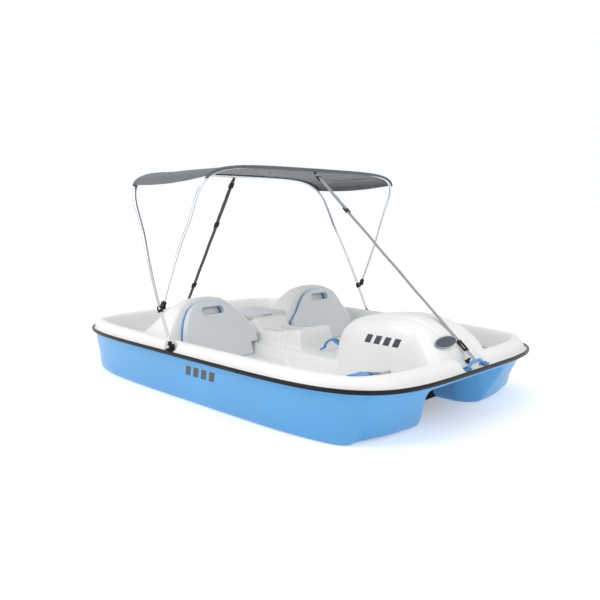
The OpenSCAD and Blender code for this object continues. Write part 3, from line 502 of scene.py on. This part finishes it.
def make_looks():
    """One material for each slot, and a lighter webbing."""
    made = {
        "hull_blue": plastic("hull_blue", (0.085, 0.33, 0.64), 0.34, 0.06, 700, 0.06, 0.15),
        "deck_white": plastic("deck_white", (0.84, 0.84, 0.83), 0.36, 0.05, 700, 0.02, 0.1),
        "rail_black": plastic("rail_black", (0.006, 0.006, 0.007), 0.27, 0.08, 500, 0.25, 0.04, shine=0.22),
        "foam": plastic("foam", (0.85, 0.85, 0.8), 0.9, 0.8, 260, 0.05),
        "black_plastic": plastic("black_plastic", (0.012, 0.012, 0.013), 0.42, 0.2, 1200, 0.2, shine=0.3),
        "blue_plastic": plastic("blue_plastic", (0.07, 0.27, 0.58), 0.33, 0.08, 900, 0.06, 0.2),
        "grey_plastic": plastic("grey_plastic", (0.67, 0.71, 0.74), 0.48, 0.35, 1400, 0.03),
        "steel": metal("steel", (0.62, 0.63, 0.65), 0.3),
        "tube": metal("tube", (0.78, 0.79, 0.81), 0.26, (1, 1, 0.05), 0.93),
        "canopy_cloth": cloth("canopy_cloth", (0.098, 0.113, 0.13), 260, ("X", "Y")),
        "webbing": cloth("webbing", (0.06, 0.065, 0.075), WEAVE, ("Y", "Z"), 0.3),
        "badge": metal("badge", (0.16, 0.19, 0.24), 0.22, dark=0.7),
    }
    made["light_webbing"] = cloth("light_webbing", (0.3, 0.315, 0.34), WEAVE, ("Y", "Z"), 0.3)
    add_stripes(made["deck_white"], slanted_bars(0.62, 0.035, 0.055, (0.325, 0.365)), (0.05, 0.055, 0.065))
    add_stripes(made["hull_blue"], slanted_bars(-0.02, 0.04, 0.06, (0.15, 0.2)), (0.045, 0.05, 0.06))
    return made


record = frame["record"]
slot_of = {part["node"]: part["material_slot"] for part in record["subparts"]}
body_of_node = {node: body for body, nodes in record["behaviour"]["bodies"].items() for node in nodes}
looks = make_looks()


def look(node):
    return looks[slot_of[node]]


# ---- Hull, deck and rail ----

WALL_FROM = 0.86           # ring from which the side walls need a denser grid
HALF_STEP = 0.5            # keeps the grid lines on a hole's edge, in millimetres


def plan_edge(steps):
    """The flange's outline in plan."""
    points = []
    for i in range(steps):
        a = 2 * math.pi * i / steps
        n = BOW_N if math.cos(a) > 0 else STERN_N
        u = math.copysign(abs(math.cos(a)) ** (2 / n), math.cos(a))
        v = math.copysign(abs(math.sin(a)) ** (2 / n), math.sin(a))
        points.append((HALF_L * u, HALF_W * v))
    return points


def even_points(points, count):
    """Points at even steps along a closed outline."""
    p = np.array(points + [points[0]])
    reach = np.concatenate([[0], np.cumsum(np.linalg.norm(np.diff(p, axis=0), axis=1))])
    at = np.linspace(0, reach[-1], count, endpoint=False)
    return np.stack([np.interp(at, reach, p[:, 0]), np.interp(at, reach, p[:, 1])], 1)


def make_hull():
    well_lo, well_hi = (Vector(c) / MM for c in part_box("wheel_housing"))
    x0, x1 = well_lo.x + 16, well_hi.x - 16
    half = well_hi.y - 12
    us = lines(WALL_FROM, [x0 / HALF_L, x1 / HALF_L], 110, 46)
    vs = lines(WALL_FROM, [-half / HALF_W, half / HALF_W], 90, 40)

    def hole(x, y):
        return (x > x0 + HALF_STEP) & (x < x1 - HALF_STEP) & (abs(y) < half - HALF_STEP)

    moulding("hull", hull_height, us, vs, hole, SKIN, "hull_blue", "hull_shell")


def make_deck():
    tub_lo, tub_hi = (Vector(c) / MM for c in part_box("cooler_tub"))
    x0, x1, half = tub_lo.x + 24, tub_hi.x - 6, tub_hi.y - 6
    cup_r, shaft_r = 40.6, 16
    cup_lo, cup_hi = (Vector(c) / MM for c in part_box("cup_holders"))
    cup_x, cup_y = (cup_lo.x + cup_hi.x) / 2, cup_hi.y - 46
    steer = frame_axis["steering_turn"].x / MM
    us = lines(WALL_FROM, [x0 / HALF_L, x1 / HALF_L], 190, 50)
    vs = lines(WALL_FROM, [-half / HALF_W, half / HALF_W], 140, 44)

    def hole(x, y):
        tub = (x > x0 + HALF_STEP) & (x < x1 - HALF_STEP) & (abs(y) < half - HALF_STEP)
        cups = np.hypot(x - cup_x, abs(y) - cup_y) < cup_r
        return tub | cups | (np.hypot(x - steer, y) < shaft_r)

    moulding("deck", deck_height, us, vs, hole, -SKIN, "deck_white", "deck_shell")


def make_rail():
    outline = even_points(plan_edge(steps=2000), count=420)
    lip = FLANGE_Z - JOINT_Z + TINY
    section = [(1, -7), (3.4, -7.6), (5.8, -7), (7.4, -4.6), (8, -0.5), (7.5, 1), (8, 2.6), (7.7, 6.6),
               (6.6, 9.2), (4.4, 10.6), (0, 11), (-3.2, 10.7), (-4, 9), (-3.6, lip), (1, lip)]
    path = [Vector((p[0] * MM, p[1] * MM, JOINT_Z * MM)) for p in outline]
    verts, faces = sweep(path, [(a * MM, b * MM) for a, b in section], closed=True)
    rail = new_piece("rail", verts, [f[::-1] for f in faces], body_of_node["rub_rail"],
                     looks["rail_black"], ("rub_rail",))
    sharpen(rail, 40)


# ---- Canopy ----

BOW_KNEE, BOW_SQUARE = 0.62, 5.8      # where the top arc starts, as a share of the height, and its squareness
BOW_TUCK = 36                         # how much narrower the top arc is than the feet, on each side


def bow_curve(half, height, start, leg):
    """The bow's line as (across, up its plane), foot to foot."""
    steps = 40
    knee, top = height * BOW_KNEE, half - BOW_TUCK
    right = [(half, start), (half, leg * 0.6), (half, leg), (half - 8, knee * 0.6), (half - 20, knee * 0.85)]
    arc = []
    for i in range(steps + 1):
        a = math.pi * i / steps
        arc.append((math.copysign(top * abs(math.cos(a)) ** (2 / BOW_SQUARE), math.cos(a)),
                    knee + (height - knee) * math.sin(a) ** (2 / BOW_SQUARE)))
    left = [(-y, s) for y, s in reversed(right)]
    return right + arc + left


def smooth_line(points, count, rounds):
    """The line through the points as count even points, with its corners rounded."""
    p = np.array(points, float)
    reach = np.concatenate([[0], np.cumsum(np.linalg.norm(np.diff(p, axis=0), axis=1))])
    at = np.linspace(0, reach[-1], count)
    q = np.stack([np.interp(at, reach, p[:, k]) for k in range(p.shape[1])], 1)
    for _ in range(rounds):
        q[1:-1] = (q[:-2] + 2 * q[1:-1] + q[2:]) / 4
    return q


class Bow:
    """A canopy bow's plane: its foot (x, z), lean towards the boat's bow in degrees, half width and height."""

    def __init__(self, foot, lean, half, height):
        self.foot, self.lean, self.half, self.height = foot, math.radians(lean), half, height

    def point(self, y, s):
        """The point y to port of the middle and s up the plane."""
        return Vector((self.foot[0] + s * math.sin(self.lean), y, self.foot[1] + s * math.cos(self.lean)))

    def fabric(self, a, out):
        """The point at angle a of the top arc, moved outwards by out."""
        knee, top = self.height * BOW_KNEE, self.half - BOW_TUCK * MM
        y = math.copysign((top + out) * abs(math.cos(a)) ** (2 / BOW_SQUARE), math.cos(a))
        s = knee + (self.height - knee + out) * max(0.0, math.sin(a)) ** (2 / BOW_SQUARE)
        return self.point(y, s)


def make_tube(name, bow, node, start, leg, r):
    """A bow's tube, with its straight legs from start to leg up its plane."""
    curve = smooth_line(bow_curve(bow.half / MM, bow.height / MM, start, leg), count=150, rounds=9)
    path = [bow.point(y * MM, s * MM) for y, s in curve]
    plane = Vector((math.cos(bow.lean), 0, -math.sin(bow.lean)))
    verts, faces = sweep(path, circle(r * MM, 20), up=plane)
    new_piece(name, verts, faces, body_of_node[node], looks["tube"], (node,))


def sleeve(tube, top, away, radius):
    """Points round a tube from its inner side, over it, to the line up to top."""
    steps, first, sweep_angle = 9, -70, 160
    lift = (top - tube).normalized()
    angles = [math.radians(first + sweep_angle * i / steps) for i in range(steps + 1)]
    return [tube + radius * (away * math.cos(b) + lift * math.sin(b)) for b in angles]


def cloth_offset(q, t, side, edge, span):
    """How far the cloth lies in from a tight line at share q over the bows and t from bow to bow."""
    ripple = math.sin(31 * q + 4 * t) * 0.0018 + math.sin(67 * q - 8 * t) * 0.0009
    pull = 0.005 * math.sin(14 * math.pi * q) * (1 - edge) * float(rise(0.2, 0.95, side))
    strain = 0.003 * math.sin(8 * math.pi * t + 3 * side) * edge
    near = math.exp(-t / 0.08) + math.exp(-(1 - t) / 0.08)
    pucker = 0.0016 * math.sin(150 * q + 3 * t) * near
    return span * (0.005 + ripple + pull + strain) + pucker


def make_canopy(main, front):
    """One sheet: cloth over the top and short sides, with a sleeve round each bow."""
    rows, cols = 76, 168
    first_angle, arc_angle, edge_drop = 27, 126, 0.014
    cloth_thick = 0.0014
    verts, lengths, widths = [], [], []
    out = (TUBE_R + 3 - 0.6) * MM
    sleeve_r = (TUBE_R + 2.2) * MM
    for q in np.linspace(0, 1, cols + 1):
        a = math.radians(first_angle + arc_angle * q)
        side = abs(q - 0.5) * 2
        edge = float(rise(0.86, 1.0, side))
        wall_share = float(rise(0.55, 0.8, side))
        inward = Vector((0, math.copysign(wall_share, 0.5 - q) * 1.6, wall_share - 1.05)).normalized()
        rear, fore = main.fabric(a, out), front.fabric(a, out)
        across = (fore - rear).normalized()
        rear_sleeve = sleeve(main.fabric(a, 0), rear, -across, sleeve_r)
        fore_sleeve = sleeve(front.fabric(a, 0), fore, across, sleeve_r)
        middle = []
        for i in range(1, rows):
            t = i / rows
            span = 1 - (2 * t - 1) ** 2
            p = rear_sleeve[-1].lerp(fore_sleeve[-1], t)
            p = p + inward * cloth_offset(q, t, side, edge, span)
            p.z -= edge_drop * edge * span
            middle.append(p)
        line = rear_sleeve + middle + fore_sleeve[::-1]
        lengths.append(sum((line[k + 1] - line[k]).length for k in range(len(line) - 1)))
        verts.append(line)
    n = len(verts[0])
    for k in range(n):
        widths.append(sum((verts[i + 1][k] - verts[i][k]).length for i in range(cols)))
    flat_verts = [p for line in verts for p in line]
    faces = [(i * n + j, i * n + j + 1, (i + 1) * n + j + 1, (i + 1) * n + j)
             for i in range(cols) for j in range(n - 1)]
    sheet = new_piece("canopy", flat_verts, faces, None, looks["canopy_cloth"],
                      ("canopy_fabric",))
    wall = sheet.modifiers.new("thick", "SOLIDIFY")
    wall.thickness = cloth_thick
    wall.offset = 1
    apply_modifiers(sheet)
    sharpen(sheet, 60)
    tuple(main.fabric(math.pi / 2, 0))
    tuple(front.fabric(math.pi / 2, 0))
    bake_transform(sheet)


# ---- Straps ----

def webbing_runs(runs, body, name, node, material):
    """Webbing as one object. A run is its two ends, its places across and out, its width and thickness."""
    verts, faces = [], []
    steps, wave_height, corner = 60, 0.0011, 0.0006
    for top, foot, across, out, width, thick in runs:
        along = (foot - top).normalized()
        face = Vector((0, 1, 0)).cross(along).normalized()
        path = []
        for i in range(steps + 1):
            t = i / steps
            wave = wave_height * math.sin(9 * t * math.pi + across * 90) * math.sin(math.pi * t)
            path.append(top.lerp(foot, t) + Vector((0, across, 0)) + face * (out + wave))
        w, h = width / 2, thick / 2
        section = [(-w, -h * 0.3), (-w + corner, -h), (w - corner, -h), (w, -h * 0.3), (w, h * 0.3),
                   (w - corner, h), (-w + corner, h), (-w, h * 0.3)]
        made, sides = sweep(path, section, up=face)
        faces += [[i + len(verts) for i in f] for f in sides]
        verts += made
    piece = new_piece(name, verts, faces, body, material, (node,))
    sharpen(piece, 40)
    return piece


def doubled(top, foot, share, out):
    """A strap's run, and the slightly narrower tail that lies on the first share of it."""
    width, thick, tail_width, tail_thick = 0.025, 0.0018, 0.0245, 0.0016
    return [(top, foot, 0, 0, width, thick), (top, top.lerp(foot, share), 0, out, tail_width, tail_thick)]


def make_straps():
    lo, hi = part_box("rear_strap")
    top, foot = Vector((hi[0], 0, hi[2])), Vector((lo[0], 0, lo[2]))
    rear = webbing_runs(doubled(top, foot, 0.38, 0.0032), None, "rear_web", "rear_strap", looks["webbing"])
    ends = refined("rear_strap_fittings", 1.6, rides=False)
    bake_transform(rear)
    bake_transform(ends)
    lo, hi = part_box("front_strap")
    top, foot = Vector((lo[0], 0, hi[2])), Vector((hi[0], 0, lo[2]))
    front = webbing_runs(doubled(top, foot, 0.26, -0.0032), "front_bow", "front_web", "front_strap",
                         looks["light_webbing"])
    ends = refined("front_strap_fittings", 1.6)
    for piece in (front, ends):
        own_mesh(piece)
    lo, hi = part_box("strap_deck_loop")
    top, foot = Vector((lo[0], 0, hi[2])), Vector((hi[0], 0, lo[2]))
    across, width, thick = 0.0075, 0.0085, 0.002
    runs = [(top, foot, side * across, 0, width, thick) for side in (-1, 1)]
    webbing_runs(runs, body_of_node["strap_deck_loop"], "deck_loop_web", "strap_deck_loop",
                 looks["light_webbing"])


# ---- Remaining CAD nodes ----

BEVEL_ANGLE = 30           # only edges sharper than this are rounded
BEVELS = {                 # width of each node's rounded edges, in millimetres
    "crankshaft": 1.2, "paddle_wheel": 1.0, "pedal_starboard_outer": 3, "pedal_starboard_inner": 3,
    "pedal_port_inner": 3, "pedal_port_outer": 3, "steering_bush": 2, "steering_arm": 1.5,
    "rudder_blade": 1.5,
    "cooler_lid": 3.5, "cooler_tub": 1.5, "cup_holders": 1.5, "bow_handle": 2.5, "stern_eye": 1.2,
    "canopy_mounts": 1.2, "hinge_clamps": 1.2, "main_bow_ends": 1.2, "front_bow_ends": 1.0,
    "crank_bearings": 2, "wheel_housing": 1.5, "drain_plugs": 1.5, "dome_badge": 1.2, "bow_pad_eye": 1,
    "rail_joint_caps": 0.8, "rudder_bush": 1, "starboard_float": 8, "port_float": 8,
}


def widened_loop(p):
    """The handle's loop, aft of its hub, reaches further to each side and stands a little lower."""
    hub_from, loop_to, loop_z = 0.30, 0.262, 0.2
    t = float(rise(hub_from, loop_to, p.x)) if p.x > loop_to else 1.0
    return Vector((p.x, p.y * (1 + 0.42 * t), p.z - 0.16 * max(0.0, p.z - loop_z) * t))


def make_badge_rim():
    """A bright rim round the blank badge."""
    rim_r, inset, proud = 0.0016, 0.955, 0.0004
    mesh = frame["nodes"]["dome_badge"].data
    points = np.array([v.co[:] for v in mesh.vertices])
    middle = Vector(points.mean(0))
    normal = Vector(max(mesh.polygons, key=lambda f: f.area).normal)
    normal = normal if normal.z > 0 else -normal
    top = max((Vector(p) - middle).dot(normal) for p in points)
    edge = [Vector(p) for p in points if (Vector(p) - middle).dot(normal) > top - 1e-4]
    first = normal.orthogonal().normalized()
    second = normal.cross(first)
    edge.sort(key=lambda p: math.atan2((p - middle).dot(second), (p - middle).dot(first)))
    loop = [middle + (p - middle) * inset + normal * proud for p in edge]
    dense = []
    for i, p in enumerate(loop):
        q = loop[(i + 1) % len(loop)]
        if (q - p).length > 1e-4:
            dense += [p, p.lerp(q, 0.5)]
    verts, sides = sweep(dense, circle(rim_r, 10), up=normal, closed=True)
    new_piece("badge_rim", verts, sides, body_of_node["dome_badge"], looks["steel"])


def finish_cad_nodes():
    for node, width in BEVELS.items():
        refined(node, width)
    for side in ("starboard", "port"):
        refined(side + "_back_front", 9, 5)
        refined(side + "_back_rear", 3, 2)
    refined("steering_handle", 1, shape=widened_loop)
    kept = ["bearing_screws", "wheel_bolts", "steering_rod", "rudder_shaft", "rudder_nut", "cooler_hinge_pin",
            "bow_handle_screws", "mount_screws", "mount_pins", "clamp_pins"]
    for node in kept:
        thing = frame["nodes"][node]
        thing.data.materials.clear()
        thing.data.materials.append(look(node))


# ---- Camera and light ----

CAMERA_PLACE = (2.620, -2.726, 0.975)
CAMERA_TURN = (133.81, 7.96, 0.59)      # yaw from the bow direction, pitch down and roll, in degrees
CAMERA_LENS = 40.6                      # in millimetres, on a 36 mm sensor


def make_camera():
    yaw, pitch, roll = (math.radians(turn) for turn in CAMERA_TURN)
    look_at = Vector((math.cos(yaw) * math.cos(pitch), math.sin(yaw) * math.cos(pitch), -math.sin(pitch)))
    right = Vector((math.sin(yaw), -math.cos(yaw), 0))
    up = right.cross(look_at)
    turned_right = math.cos(roll) * right + math.sin(roll) * up
    turned_up = -math.sin(roll) * right + math.cos(roll) * up
    rows = Matrix((turned_right, turned_up, -look_at)).transposed()
    data = bpy.data.cameras.new("camera")
    camera = bpy.data.objects.new("camera", data)
    bpy.context.scene.collection.objects.link(camera)
    camera.matrix_world = Matrix.Translation(CAMERA_PLACE) @ rows.to_4x4()
    data.sensor_width = 36
    data.lens = CAMERA_LENS
    data.clip_start, data.clip_end = 0.05, 100
    bpy.context.scene.camera = camera


def area_light(name, place, target, size, power):
    data = bpy.data.lights.new(name, "AREA")
    data.shape = "RECTANGLE"
    data.size, data.size_y = size
    data.energy = power
    lamp = bpy.data.objects.new(name, data)
    bpy.context.scene.collection.objects.link(lamp)
    lamp.location = place
    lamp.rotation_euler = (Vector(target) - Vector(place)).to_track_quat("-Z", "Y").to_euler()


def make_world():
    """A pale sky that lights the boat a little less than the camera sees it."""
    world = bpy.data.worlds.new("studio")
    world.use_nodes = True
    tree = world.node_tree
    seen = tree.nodes.new("ShaderNodeLightPath")
    shade = tree.nodes.new("ShaderNodeMapRange")
    shade.inputs["To Min"].default_value = 0.78
    shade.inputs["To Max"].default_value = 1.0
    tree.links.new(seen.outputs["Is Camera Ray"], shade.inputs["Value"])
    tree.links.new(shade.outputs["Result"], tree.nodes["Background"].inputs["Strength"])
    tree.nodes["Background"].inputs["Color"].default_value = (0.98, 0.99, 1, 1)
    bpy.context.scene.world = world
    bpy.context.scene.view_settings.view_transform = "Standard"


def make_floor():
    size = 30
    corners = [(-size, -size, 0), (size, -size, 0), (size, size, 0), (-size, size, 0)]
    mesh = bpy.data.meshes.new("floor")
    mesh.from_pydata(corners, [], [(0, 1, 2, 3)])
    floor = bpy.data.objects.new("floor", mesh)
    bpy.context.scene.collection.objects.link(floor)
    material = bpy.data.materials.new("floor")
    tree, _, links, shader = nodes_of(material)
    tone = two_tone(tree, noise(tree, 0.4, 2), (0.93, 0.93, 0.93), (0.95, 0.95, 0.95))
    links.new(tone, shader.inputs["Base Color"])
    shader.inputs["Roughness"].default_value = 0.9
    shader.inputs["Emission Color"].default_value = (1, 1, 1, 1)
    shader.inputs["Emission Strength"].default_value = 0.3
    mesh.materials.append(material)


def make_studio():
    make_world()
    make_floor()
    area_light("key", (-1.5, -4.5, 4.2), (0, 0, 0.2), (3.0, 2.0), 115)
    area_light("fill", (4.5, -0.5, 2.6), (0.2, 0, 0.3), (3, 2.5), 30)
    area_light("top", (0, 0, 4.5), (0, 0, 0), (4, 4), 22)


# ---- The boat ----

frame_axis = {joint["name"]: Vector(joint["pos_m"])
              for joint in record["behaviour"]["joints"] if "pos_m" in joint}
pivot = frame_axis["canopy_fold"]
hinge = frame_axis["front_bow_fold"]
bow_half = (BOAT_W / 2 - 32) * MM
main = Bow((pivot.x, pivot.z), lean=-26.5, half=bow_half, height=0.974)
front = Bow((hinge.x, hinge.z), lean=23, half=bow_half, height=0.762)

make_camera()
make_studio()
make_hull()
make_deck()
make_rail()
make_tube("main_tube", main, "main_bow", start=24, leg=225, r=TUBE_R)
make_tube("front_tube", front, "front_bow", start=34, leg=90, r=TUBE_R - 1.5)
make_canopy(main, front)
make_straps()
make_badge_rim()
finish_cad_nodes()
